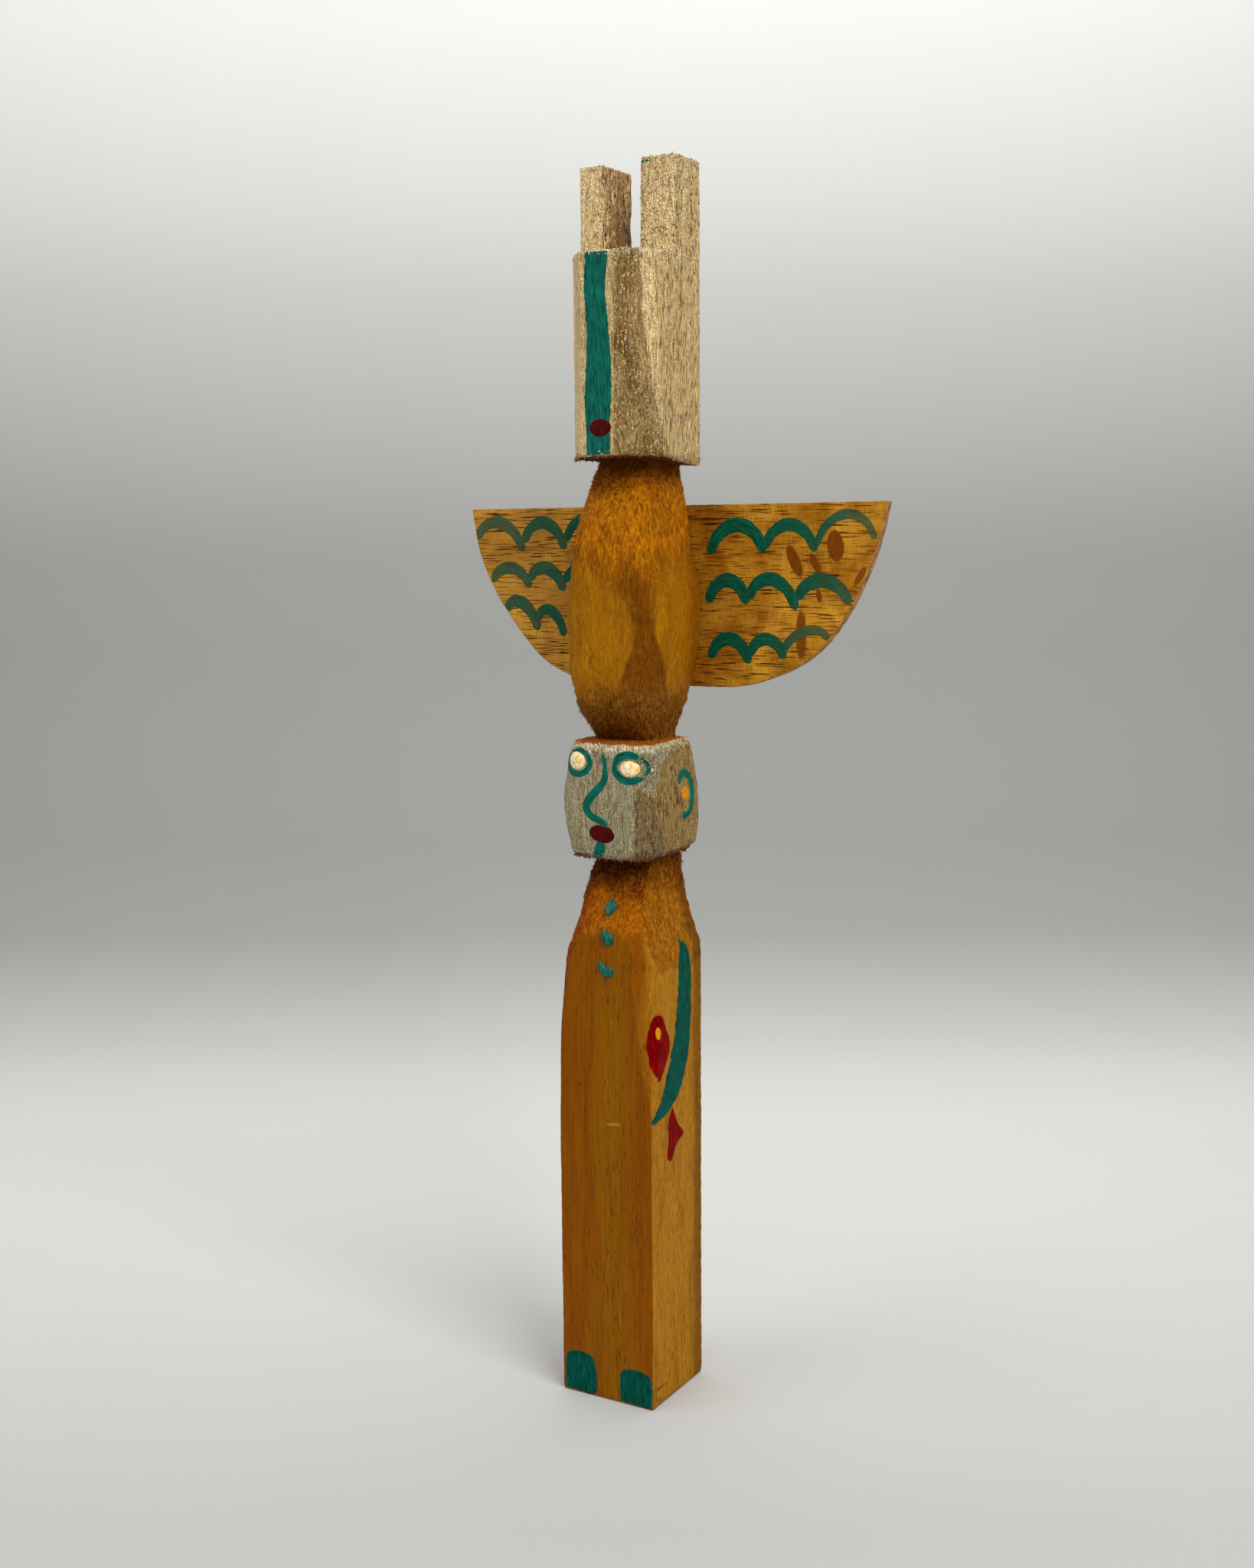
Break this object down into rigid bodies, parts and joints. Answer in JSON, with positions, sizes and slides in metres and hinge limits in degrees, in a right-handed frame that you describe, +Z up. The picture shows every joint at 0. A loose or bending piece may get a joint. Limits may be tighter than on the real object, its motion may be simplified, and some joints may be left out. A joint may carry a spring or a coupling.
{
  "type": "carved totem figure",
  "caption": "Small painted totem figure carved from one square stick: standing body, face, winged body and long-snouted head with two ears.",
  "frame": {"origin": "middle of the stick's square foot, on the surface it stands on", "axes": "+Z up along the stick, the face and buttons look along -Y, the wing board is on the flat back at +Y, +X is the figure's left"},
  "size_m": [0.1148, 0.0303, 0.298],
  "materials": {
    "stained_stick": "orange-brown stain, two heads in pale metallic gold, open pores and torn saw cuts",
    "wing_plywood": "thin tan stain over a coarse dark-pored veneer, brushed teal scallops",
    "dried_glue": "dried wood glue, slightly glossy",
    "pin_steel": "plain bright pin",
    "teal_paint": "thick dried craft paint, satin",
    "cream_paint": "thick dried craft paint, satin"
  },
  "bodies": {
    "root": {"carved_stick": "stained_stick", "wing_board": "wing_plywood", "glue_film": "dried_glue", "panel_pin_upper": "pin_steel", "panel_pin_lower": "pin_steel", "paint_bead_button_upper": "teal_paint", "paint_bead_button_middle": "teal_paint", "paint_bead_button_lower": "teal_paint", "paint_bead_eye_left": "cream_paint", "paint_bead_eye_right": "cream_paint"}
  },
  "joints": []
}
